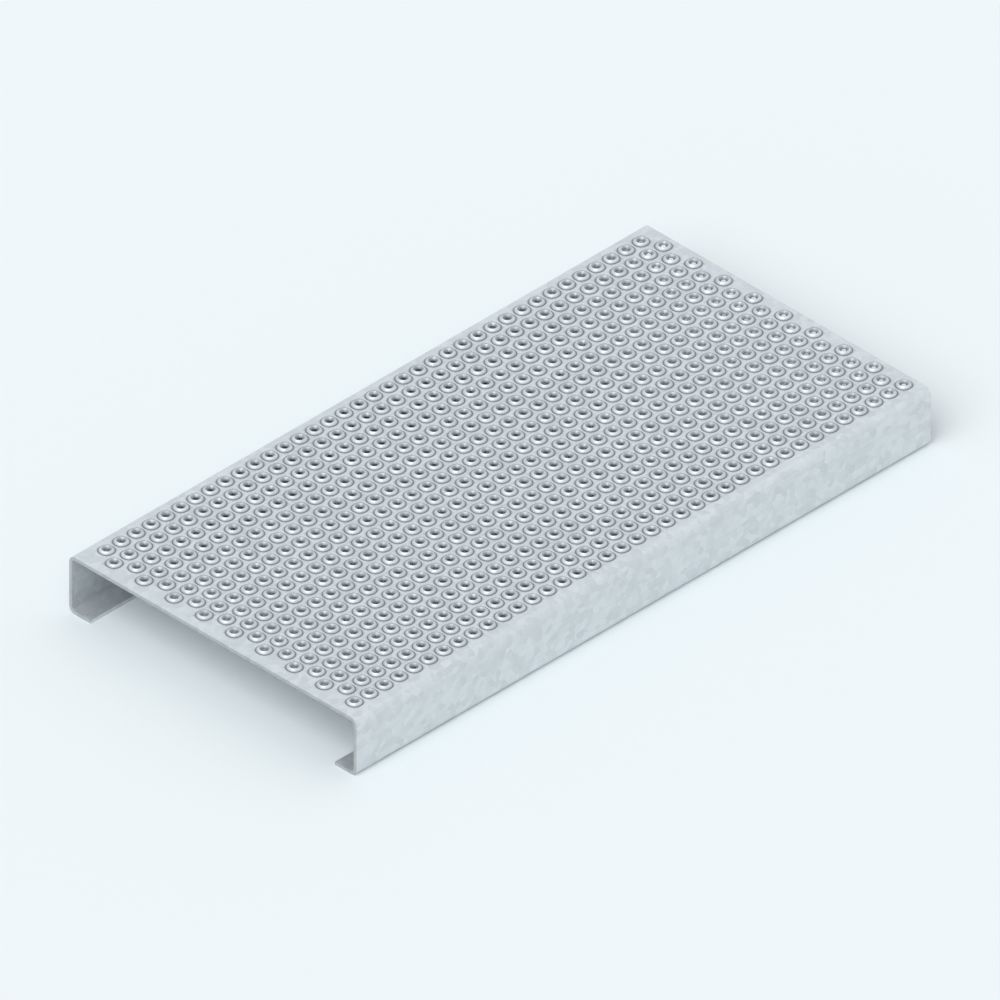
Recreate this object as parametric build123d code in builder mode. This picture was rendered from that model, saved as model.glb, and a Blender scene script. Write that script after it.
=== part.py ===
# Stair tread folded from one perforated steel sheet, in millimetres.
#
# The sheet is pierced with staggered rows of holes for grip and drainage, and
# folded along its length into a channel: a tread plate, a flange down each side
# and a lip turned in under each flange. Both ends are open.
#
# +X runs along the tread, +Y across it to its back edge and +Z up. The origin
# is under the middle of the tread, level with the undersides of the lips.

from build123d import *

import os
from math import floor, sqrt

# The sheet and its folds
tread_length = 600.0
tread_depth = 300.0
tread_height = 51.5  # from the undersides of the lips to the top of the plate
sheet_thickness = 3.0
inner_bend_radius = 3.2
lip_width = 22.5  # from the flange's outer face to the lip's free edge

# One hole. It is round and flared on the real tread, and drawn here as a plain
# three-sided one that takes as much metal out. The flare is the round patch of
# sheet that the hole's forming takes up, which keeps clear of ends and bends
hole_side = 5.7
flare_diameter = 13.6

# The rows of holes. Each second row is shifted along by half a pitch
hole_pitch = 15.5
row_pitch = 15.68
first_hole_margin = 15.5  # from the tread's near end to the first hole of a full row
first_row_margin = 16.0  # from the back flange's outer face to the first row
plain_land = 1.2  # least flat sheet between a flare and an end or a bend

# What follows from those sizes
half_length = tread_length / 2
half_depth = tread_depth / 2
outer_bend_radius = inner_bend_radius + sheet_thickness
clear_margin = flare_diameter / 2 + plain_land
hole_radius = hole_side / sqrt(3)  # from the hole's middle to a corner

# A full row starts at the first hole margin, and a shifted row half a pitch further on
row_room = tread_length - first_hole_margin - clear_margin
full_row_count = floor(row_room / hole_pitch) + 1
shifted_row_count = floor(row_room / hole_pitch - 0.5) + 1

# The back row is a shifted one, and full and shifted rows take turns from there
depth_room = tread_depth - first_row_margin - outer_bend_radius - clear_margin
row_count = floor(depth_room / row_pitch) + 1
shifted_rows = (row_count + 1) // 2
full_rows = row_count // 2

first_hole_x = -half_length + first_hole_margin
first_row_y = half_depth - first_row_margin

with BuildPart() as folded_tread:
    # The folded sheet is drawn by its outer face, from one lip's edge to the other's
    with BuildSketch(Plane.YZ):
        with BuildLine():
            FilletPolyline(
                (half_depth - lip_width, 0),
                (half_depth, 0),
                (half_depth, tread_height),
                (-half_depth, tread_height),
                (-half_depth, 0),
                (-half_depth + lip_width, 0),
                radius=outer_bend_radius,
            )
            offset(amount=sheet_thickness, side=Side.LEFT)
        make_face()
    extrude(amount=half_length, both=True)

    # Full rows and shifted rows are two grids, both laid out from the near end
    # of the tread and its back edge
    with BuildSketch(Plane.XY.offset(tread_height)) as holes:
        with Locations((first_hole_x, first_row_y - row_pitch)):
            with GridLocations(
                hole_pitch, 2 * row_pitch, full_row_count, full_rows, align=(Align.MIN, Align.MAX)
            ):
                RegularPolygon(hole_radius, side_count=3, rotation=90)
        with Locations((first_hole_x + hole_pitch / 2, first_row_y)):
            with GridLocations(
                hole_pitch, 2 * row_pitch, shifted_row_count, shifted_rows, align=(Align.MIN, Align.MAX)
            ):
                RegularPolygon(hole_radius, side_count=3, rotation=90)
    extrude(amount=-sheet_thickness, mode=Mode.SUBTRACT)

folded_tread.part.label = "folded_tread"

os.makedirs("parts", exist_ok=True)
export_step(folded_tread.part, "parts/folded_tread.step")

print("holes", len(holes.sketch.faces()))
print("volume in cubic centimetres", round(folded_tread.part.volume / 1000, 1))
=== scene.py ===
import math

import bmesh
import bpy
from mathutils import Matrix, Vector


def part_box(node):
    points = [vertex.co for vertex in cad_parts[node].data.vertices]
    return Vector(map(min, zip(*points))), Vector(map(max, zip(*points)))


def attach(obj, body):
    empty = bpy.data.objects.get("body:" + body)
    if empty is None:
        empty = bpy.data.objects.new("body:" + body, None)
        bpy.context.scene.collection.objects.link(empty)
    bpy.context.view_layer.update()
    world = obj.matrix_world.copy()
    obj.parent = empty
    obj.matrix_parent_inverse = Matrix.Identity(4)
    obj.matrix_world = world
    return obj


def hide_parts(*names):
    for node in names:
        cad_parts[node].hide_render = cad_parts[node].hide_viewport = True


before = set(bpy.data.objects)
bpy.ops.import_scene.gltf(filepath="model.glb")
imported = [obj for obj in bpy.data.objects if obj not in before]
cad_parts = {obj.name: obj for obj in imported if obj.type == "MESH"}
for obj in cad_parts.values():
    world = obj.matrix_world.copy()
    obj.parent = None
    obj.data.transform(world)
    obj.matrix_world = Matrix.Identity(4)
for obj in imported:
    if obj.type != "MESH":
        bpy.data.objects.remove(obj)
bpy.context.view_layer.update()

low_corner, high_corner = (Vector(corner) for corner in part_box("folded_tread"))

# The view
# The tread is seen as in an isometric drawing: its length, depth and height all
# show at one scale, and nothing shrinks with distance.
view_width = 0.7383
camera_distance = 3.0
towards_camera = Vector((-1, -1, 1)).normalized()

bpy.ops.object.select_all(action="DESELECT")
bpy.ops.object.camera_add(
    location=(low_corner + high_corner) / 2 + camera_distance * towards_camera,
    rotation=towards_camera.to_track_quat("Z", "Y").to_euler(),
)
camera = bpy.context.object
camera.data.type = "ORTHO"
camera.data.ortho_scale = view_width
bpy.context.scene.camera = camera
bpy.context.scene.view_settings.view_transform = "Standard"

# One raised hole
# The press pushes the steel sheet up into a low cone and opens its top. The hole
# is a funnel from rim to throat, and the underside has a cone-shaped hollow.
sheet_thickness = 0.003
throat_radius = 0.0018
rim_radius = 0.0041
rim_height = 0.00185
rim_flat = 0.00012
base_radius = 0.0068
base_fillet = 0.0002
slope = rim_height / (base_radius - rim_radius)
hollow_radius = throat_radius + sheet_thickness / slope

hole_pitch = 0.0155
row_pitch = 0.01568
first_hole_margin = 0.0155
first_row_margin = 0.016
tile_divisions = 4
points_round_hole = 4 * tile_divisions
tolerance = 0.00001

plate_top = high_corner.z
plate_underside = plate_top - sheet_thickness
first_hole = Vector(
    (low_corner.x + first_hole_margin, high_corner.y - first_row_margin - row_pitch, plate_top)
)


def near(a, b):
    """Whether two coordinates are the same place."""
    return abs(a - b) < tolerance


def select_edges(piece, at, more=False, least_turn=0):
    """Selects each edge whose two ends lie where at says, if the surface turns enough there."""
    mesh = bmesh.from_edit_mesh(piece.data)
    mesh.select_mode = {"EDGE"}
    for edge in mesh.edges:
        wanted = all(at(end.co) for end in edge.verts) and (
            least_turn == 0 or edge.calc_face_angle(0) > least_turn
        )
        edge.select_set(wanted or (more and edge.select))
    mesh.select_flush_mode()
    bmesh.update_edit_mesh(piece.data)


def extrude_edges(piece, at, step):
    """Draws the edges that lie where at says out into new faces, one step long."""
    select_edges(piece, at)
    bpy.ops.mesh.extrude_region_move(TRANSFORM_OT_translate={"value": step})


# The square of sheet round the hole starts as an outline on the top and another
# on the underside, with points where the tiles of the shifted rows have theirs
bpy.ops.object.select_all(action="DESELECT")
bpy.ops.mesh.primitive_grid_add(
    x_subdivisions=tile_divisions, y_subdivisions=tile_divisions, size=1, location=first_hole
)
full_rows = bpy.context.object
full_rows.name = "tread_sheet"
full_rows.scale = (hole_pitch, row_pitch, 1)
bpy.ops.object.transform_apply(location=True, rotation=True, scale=True)
bpy.ops.object.mode_set(mode="EDIT")
bpy.ops.mesh.select_mode(type="VERT")
bpy.ops.mesh.select_all(action="DESELECT")
tile = bmesh.from_edit_mesh(full_rows.data)
for corner in tile.verts:
    across = abs(corner.co.x - first_hole.x) < hole_pitch / 2 - tolerance
    along = abs(corner.co.y - first_hole.y) < row_pitch / 2 - tolerance
    corner.select_set(across and along)
bmesh.update_edit_mesh(full_rows.data)
bpy.ops.mesh.delete(type="VERT")
bpy.ops.mesh.select_all(action="SELECT")
bpy.ops.mesh.duplicate_move(TRANSFORM_OT_translate={"value": (0, 0, -sheet_thickness)})

# The hole is drawn up ring by ring, from the hollow's edge under the sheet,
# through the throat and over the rim, to the foot of the outer slope. Each ring
# has a radius, a height over the plate and how much painted shade darkens it
hole_rings = [
    (hollow_radius, -sheet_thickness, 0),
    (throat_radius, 0, 1),
    (rim_radius - rim_flat, rim_height, 0.7),
    (rim_radius + rim_flat, rim_height, 0),
    (base_radius - base_fillet, base_fillet * slope, 1),
    (base_radius + base_fillet, 0, 0.85),
]
bpy.ops.mesh.primitive_circle_add(
    vertices=points_round_hole,
    radius=hollow_radius,
    fill_type="NOTHING",
    location=first_hole - Vector((0, 0, sheet_thickness)),
)
for (last_radius, last_height, _), (radius, height, _) in zip(hole_rings, hole_rings[1:]):
    widening = radius / last_radius
    bpy.ops.mesh.extrude_region_move(TRANSFORM_OT_translate={"value": (0, 0, height - last_height)})
    bpy.ops.transform.resize(value=(widening, widening, 1), center_override=first_hole)

# Flat sheet fills the room between the hole and the outline, above and below
for level, radius in ((plate_top, base_radius), (plate_underside, hollow_radius - tolerance)):
    select_edges(
        full_rows,
        lambda p: near(p.z, level) and math.hypot(p.x - first_hole.x, p.y - first_hole.y) > radius,
    )
    bpy.ops.mesh.fill()

# Painted shade darkens the throat and the crease at the foot of the hole, so each point notes how much
# it gets
tile = bmesh.from_edit_mesh(full_rows.data)
painted_shade = tile.verts.layers.float.new("painted_shade")
for corner in tile.verts:
    corner_radius = math.hypot(corner.co.x - first_hole.x, corner.co.y - first_hole.y)
    for radius, height, painted_shade_amount in hole_rings:
        if near(corner_radius, radius) and near(corner.co.z, plate_top + height):
            corner[painted_shade] = painted_shade_amount
bmesh.update_edit_mesh(full_rows.data)
bpy.ops.object.mode_set(mode="OBJECT")

# The rows of holes
# The press punches the sheet row by row while it is flat. A full row has one
# hole more than the shifted rows beside it, which start half a pitch further on.
clear_margin = 0.008
row_room = high_corner.x - low_corner.x - first_hole_margin - clear_margin
full_row_count = math.floor(row_room / hole_pitch) + 1
shifted_row_count = full_row_count - 1
rows_of_each_kind = 9


def repeat(piece, count, step):
    """Repeats a piece count times, a step apart, and joins each copy to the last."""
    bpy.context.view_layer.objects.active = piece
    bpy.ops.object.modifier_add(type="ARRAY")
    copies = piece.modifiers[-1]
    copies.count = count
    copies.use_relative_offset = False
    copies.use_constant_offset = True
    copies.constant_offset_displace = step
    copies.use_merge_vertices = True
    copies.merge_threshold = tolerance
    bpy.ops.object.modifier_apply(modifier=copies.name)


bpy.ops.object.duplicate()
shifted_rows = bpy.context.object
shifted_rows.location = (hole_pitch / 2, row_pitch, 0)
bpy.ops.object.transform_apply(location=True, rotation=True, scale=True)

repeat(full_rows, full_row_count, (hole_pitch, 0, 0))
repeat(shifted_rows, shifted_row_count, (hole_pitch, 0, 0))

# A shifted row is brought out to the full rows' ends by half a pitch of plain sheet
near_end = first_hole.x
far_end = near_end + shifted_row_count * hole_pitch
half_tile = hole_pitch / tile_divisions
bpy.ops.object.mode_set(mode="EDIT")
for step in range(tile_divisions // 2):
    extrude_edges(shifted_rows, lambda p: near(p.x, near_end - step * half_tile), (-half_tile, 0, 0))
    extrude_edges(shifted_rows, lambda p: near(p.x, far_end + step * half_tile), (half_tile, 0, 0))
bpy.ops.object.mode_set(mode="OBJECT")

repeat(full_rows, rows_of_each_kind, (0, -2 * row_pitch, 0))
repeat(shifted_rows, rows_of_each_kind, (0, -2 * row_pitch, 0))

# The folded sheet
# One sheet of steel makes the whole tread. A press brake folds it four times,
# with one radius: down into the two flanges, and in again into the two lips.
inner_bend_radius = 0.0032
outer_bend_radius = inner_bend_radius + sheet_thickness
lip_width = 0.0225
bend_steps = 6
cut_edge_round = 0.0003
cut_edge_steps = 2
cut_edge_turn = math.radians(80)
smooth_turn = math.radians(32)

bpy.ops.object.select_all(action="DESELECT")
shifted_rows.select_set(True)
full_rows.select_set(True)
bpy.context.view_layer.objects.active = full_rows
bpy.ops.object.join()
tread = bpy.context.object
bpy.ops.object.mode_set(mode="EDIT")
bpy.ops.mesh.select_all(action="SELECT")
bpy.ops.mesh.remove_doubles(threshold=tolerance)

# Plain sheet runs from the rows out to the two cut ends
field_near = near_end - hole_pitch / 2
field_far = far_end + hole_pitch / 2
extrude_edges(tread, lambda p: near(p.x, field_near), (low_corner.x - field_near, 0, 0))
extrude_edges(tread, lambda p: near(p.x, field_far), (high_corner.x - field_far, 0, 0))

# It runs on over the front and back bends, down the flanges and into the lips
flange_flat = plate_top - 2 * outer_bend_radius
lip_flat = lip_width - outer_bend_radius
field_back = first_hole.y + row_pitch * 3 / 2
field_front = field_back - 2 * rows_of_each_kind * row_pitch
for side, edge_of_rows in ((-1, field_front), (1, field_back)):
    flange_face = side * high_corner.y
    bend_line = flange_face - side * outer_bend_radius
    extrude_edges(
        tread,
        lambda p: near(p.y, edge_of_rows) and p.z > plate_underside - tolerance,
        (0, bend_line - edge_of_rows, 0),
    )
    quarter_turn = side * math.pi / 2
    bpy.ops.mesh.spin(
        steps=bend_steps,
        angle=quarter_turn,
        center=(0, bend_line, plate_top - outer_bend_radius),
        axis=(1, 0, 0),
    )
    bpy.ops.mesh.extrude_region_move(TRANSFORM_OT_translate={"value": (0, 0, -flange_flat)})
    bpy.ops.mesh.spin(
        steps=bend_steps,
        angle=quarter_turn,
        center=(0, bend_line, outer_bend_radius),
        axis=(1, 0, 0),
    )
    bpy.ops.mesh.extrude_region_move(TRANSFORM_OT_translate={"value": (0, -side * lip_flat, 0)})

# The sheet's thickness shows at the two open ends and along the edges of the lips
for end in (low_corner.x, high_corner.x):
    select_edges(tread, lambda p: near(p.x, end))
    bpy.ops.mesh.bridge_edge_loops()
lip_edge = high_corner.y - lip_width
for side in (-1, 1):
    select_edges(tread, lambda p: near(p.y, side * lip_edge) and near(p.z, 0))
    select_edges(tread, lambda p: near(p.y, side * lip_edge) and near(p.z, sheet_thickness), more=True)
    bpy.ops.mesh.bridge_edge_loops()
bpy.ops.mesh.select_all(action="SELECT")
bpy.ops.mesh.normals_make_consistent(inside=False)

# A cut edge is broken a little, so that it doesn't cut a hand
select_edges(
    tread,
    lambda p: near(abs(p.x), high_corner.x) or (near(abs(p.y), lip_edge) and p.z < 2 * sheet_thickness),
    least_turn=cut_edge_turn,
)
bpy.ops.mesh.bevel(offset=cut_edge_round, segments=cut_edge_steps, affect="EDGES")
bpy.ops.object.mode_set(mode="OBJECT")

# The bends and the round holes shade smoothly, and the flat sheet stays flat
bpy.ops.object.shade_smooth_by_angle(angle=smooth_turn)
bpy.ops.object.modifier_add(type="WEIGHTED_NORMAL")
flat_shading = tread.modifiers[-1]
flat_shading.keep_sharp = True
bpy.ops.object.modifier_apply(modifier=flat_shading.name)

# The finish is hot-dip zinc: pale grey crystals a few millimetres wide, each a
# little lighter or duller than the next, over faint lines along the rolled sheet
zinc_dark = (0.60, 0.63, 0.65, 1)
zinc_light = (0.76, 0.79, 0.81, 1)
# A dark grey, mixed in as painted shade in the holes' hollows and creases, and as duller steel over the
# two cut ends
shade_and_cut_end_grey = (0.12, 0.13, 0.14, 1)
cut_end_dulling = 0.35
painted_shade_falloff = 3
metal_share = 0.7
crystals_per_metre = 170
crystal_tones_from = -0.1
crystal_tones_to = 0.5
crystal_roughness_from = 0.40
crystal_roughness_to = 0.56
feathers_per_metre = 500
feather_detail = 3
feather_reach = 0.0015
rolling_lines_per_metre = (6, 500, 500)
rolling_line_detail = 4
rolling_line_tone = 0.6
grain_strength = 0.15
grain_depth = 0.0001

zinc = bpy.data.materials.new("galvanised_steel")
zinc.use_nodes = True
nodes = zinc.node_tree.nodes
links = zinc.node_tree.links
shader = nodes["Principled BSDF"]
shader.inputs["Metallic"].default_value = metal_share

# Crystals with feathered edges
place = nodes.new("ShaderNodeTexCoord")
feathering = nodes.new("ShaderNodeTexNoise")
feathering.inputs["Scale"].default_value = feathers_per_metre
feathering.inputs["Detail"].default_value = feather_detail
links.new(place.outputs["Object"], feathering.inputs["Vector"])
feathered_place = nodes.new("ShaderNodeVectorMath")
feathered_place.operation = "MULTIPLY_ADD"
feathered_place.inputs[1].default_value = (feather_reach, feather_reach, feather_reach)
links.new(feathering.outputs["Color"], feathered_place.inputs[0])
links.new(place.outputs["Object"], feathered_place.inputs[2])

crystals = nodes.new("ShaderNodeTexVoronoi")
crystals.inputs["Scale"].default_value = crystals_per_metre
links.new(feathered_place.outputs["Vector"], crystals.inputs["Vector"])
crystal_tones = nodes.new("ShaderNodeSeparateColor")
links.new(crystals.outputs["Color"], crystal_tones.inputs["Color"])

# Faint lines along the sheet, from its rolling
rolling_place = nodes.new("ShaderNodeMapping")
rolling_place.inputs["Scale"].default_value = rolling_lines_per_metre
links.new(place.outputs["Object"], rolling_place.inputs["Vector"])
rolling_lines = nodes.new("ShaderNodeTexNoise")
rolling_lines.inputs["Scale"].default_value = 1
rolling_lines.inputs["Detail"].default_value = rolling_line_detail
links.new(rolling_place.outputs["Vector"], rolling_lines.inputs["Vector"])

# Both together set how light the zinc is
tone_step = nodes.new("ShaderNodeMapRange")
tone_step.inputs["To Min"].default_value = crystal_tones_from
tone_step.inputs["To Max"].default_value = crystal_tones_to
links.new(crystal_tones.outputs["Red"], tone_step.inputs["Value"])
tone = nodes.new("ShaderNodeMath")
tone.operation = "MULTIPLY_ADD"
tone.inputs[1].default_value = rolling_line_tone
links.new(rolling_lines.outputs["Fac"], tone.inputs[0])
links.new(tone_step.outputs["Result"], tone.inputs[2])
fresh_zinc = nodes.new("ShaderNodeMix")
fresh_zinc.data_type = "RGBA"
fresh_zinc.inputs["A"].default_value = zinc_dark
fresh_zinc.inputs["B"].default_value = zinc_light
links.new(tone.outputs["Value"], fresh_zinc.inputs["Factor"])

# Painted shade darkens the throat, the funnel and the crease round the foot of each hole, and the zinc
# is duller over the two cut ends
painted_shade_amount = nodes.new("ShaderNodeAttribute")
painted_shade_amount.attribute_name = "painted_shade"
# Painted shade: the noted amount, raised to a power so that it fades fast away from the throat and the
# crease
painted_crease_shade = nodes.new("ShaderNodeMath")
painted_crease_shade.operation = "POWER"
painted_crease_shade.inputs[1].default_value = painted_shade_falloff
links.new(painted_shade_amount.outputs["Fac"], painted_crease_shade.inputs[0])
place_parts = nodes.new("ShaderNodeSeparateXYZ")
links.new(place.outputs["Object"], place_parts.inputs["Vector"])
from_middle = nodes.new("ShaderNodeMath")
from_middle.operation = "ABSOLUTE"
links.new(place_parts.outputs["X"], from_middle.inputs[0])
at_cut_end = nodes.new("ShaderNodeMath")
at_cut_end.operation = "GREATER_THAN"
at_cut_end.inputs[1].default_value = high_corner.x - cut_edge_round / 2
links.new(from_middle.outputs["Value"], at_cut_end.inputs[0])
shade_and_cut_end_dulling = nodes.new("ShaderNodeMath")
shade_and_cut_end_dulling.operation = "MULTIPLY_ADD"
shade_and_cut_end_dulling.inputs[1].default_value = cut_end_dulling
links.new(at_cut_end.outputs["Value"], shade_and_cut_end_dulling.inputs[0])
links.new(painted_crease_shade.outputs["Value"], shade_and_cut_end_dulling.inputs[2])
zinc_colour = nodes.new("ShaderNodeMix")
zinc_colour.data_type = "RGBA"
zinc_colour.inputs["B"].default_value = shade_and_cut_end_grey
links.new(shade_and_cut_end_dulling.outputs["Value"], zinc_colour.inputs["Factor"])
links.new(fresh_zinc.outputs["Result"], zinc_colour.inputs["A"])
links.new(zinc_colour.outputs["Result"], shader.inputs["Base Color"])

# Each crystal has its own gloss, and the rolling lines are felt as a fine grain
dullness = nodes.new("ShaderNodeMapRange")
dullness.inputs["To Min"].default_value = crystal_roughness_from
dullness.inputs["To Max"].default_value = crystal_roughness_to
links.new(crystal_tones.outputs["Green"], dullness.inputs["Value"])
links.new(dullness.outputs["Result"], shader.inputs["Roughness"])

grain = nodes.new("ShaderNodeBump")
grain.inputs["Strength"].default_value = grain_strength
grain.inputs["Distance"].default_value = grain_depth
links.new(rolling_lines.outputs["Fac"], grain.inputs["Height"])
links.new(grain.outputs["Normal"], shader.inputs["Normal"])

tread.data.materials.clear()
tread.data.materials.append(zinc)
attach(tread, "root")
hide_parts("folded_tread")

# The floor
# A plain matt sheet of very pale blue, which the tread stands on and shades.
pale_blue = (0.855, 0.922, 0.947, 1)
floor_width = 12
floor_roughness = 0.9
floor_gloss = 0.1

bpy.ops.object.select_all(action="DESELECT")
bpy.ops.mesh.primitive_plane_add(size=floor_width, location=(0, 0, 0))
floor = bpy.context.object
floor.name = "floor"
matt = bpy.data.materials.new("matt_floor")
matt.use_nodes = True
floor_shader = matt.node_tree.nodes["Principled BSDF"]
floor_shader.inputs["Base Color"].default_value = pale_blue
floor_shader.inputs["Roughness"].default_value = floor_roughness
floor_shader.inputs["Specular IOR Level"].default_value = floor_gloss
floor.data.materials.append(matt)

# The light
# A pale tent all round gives most of it, and one broad lamp, high on the left
# of the view, gives each raised rim a bright side and a shaded one.
towards_lamp = Vector((-0.62, -0.22, 0.75))
tent_light = 0.66
lamp_light = 1.45
lamp_softness = math.radians(50)

bpy.ops.object.light_add(type="SUN", rotation=towards_lamp.to_track_quat("Z", "Y").to_euler())
lamp = bpy.context.object
lamp.data.energy = lamp_light
lamp.data.angle = lamp_softness

# The tent gives white light, and the camera, metal and glass see it in the floor's colour
tent = bpy.data.worlds.new("tent")
tent.use_nodes = True
bpy.context.scene.world = tent
nodes = tent.node_tree.nodes
links = tent.node_tree.links
lighting = nodes["Background"]
lighting.inputs["Color"].default_value = (1, 1, 1, 1)
lighting.inputs["Strength"].default_value = tent_light
shown = nodes.new("ShaderNodeBackground")
shown.inputs["Color"].default_value = pale_blue
rays = nodes.new("ShaderNodeLightPath")
seen_or_mirrored = nodes.new("ShaderNodeMath")
seen_or_mirrored.operation = "ADD"
links.new(rays.outputs["Is Camera Ray"], seen_or_mirrored.inputs[0])
links.new(rays.outputs["Is Glossy Ray"], seen_or_mirrored.inputs[1])
shows_background = nodes.new("ShaderNodeMath")
shows_background.operation = "ADD"
shows_background.use_clamp = True
links.new(seen_or_mirrored.outputs["Value"], shows_background.inputs[0])
links.new(rays.outputs["Is Transmission Ray"], shows_background.inputs[1])
backdrop = nodes.new("ShaderNodeMixShader")
links.new(shows_background.outputs["Value"], backdrop.inputs["Fac"])
links.new(lighting.outputs["Background"], backdrop.inputs[1])
links.new(shown.outputs["Background"], backdrop.inputs[2])
links.new(backdrop.outputs["Shader"], nodes["World Output"].inputs["Surface"])
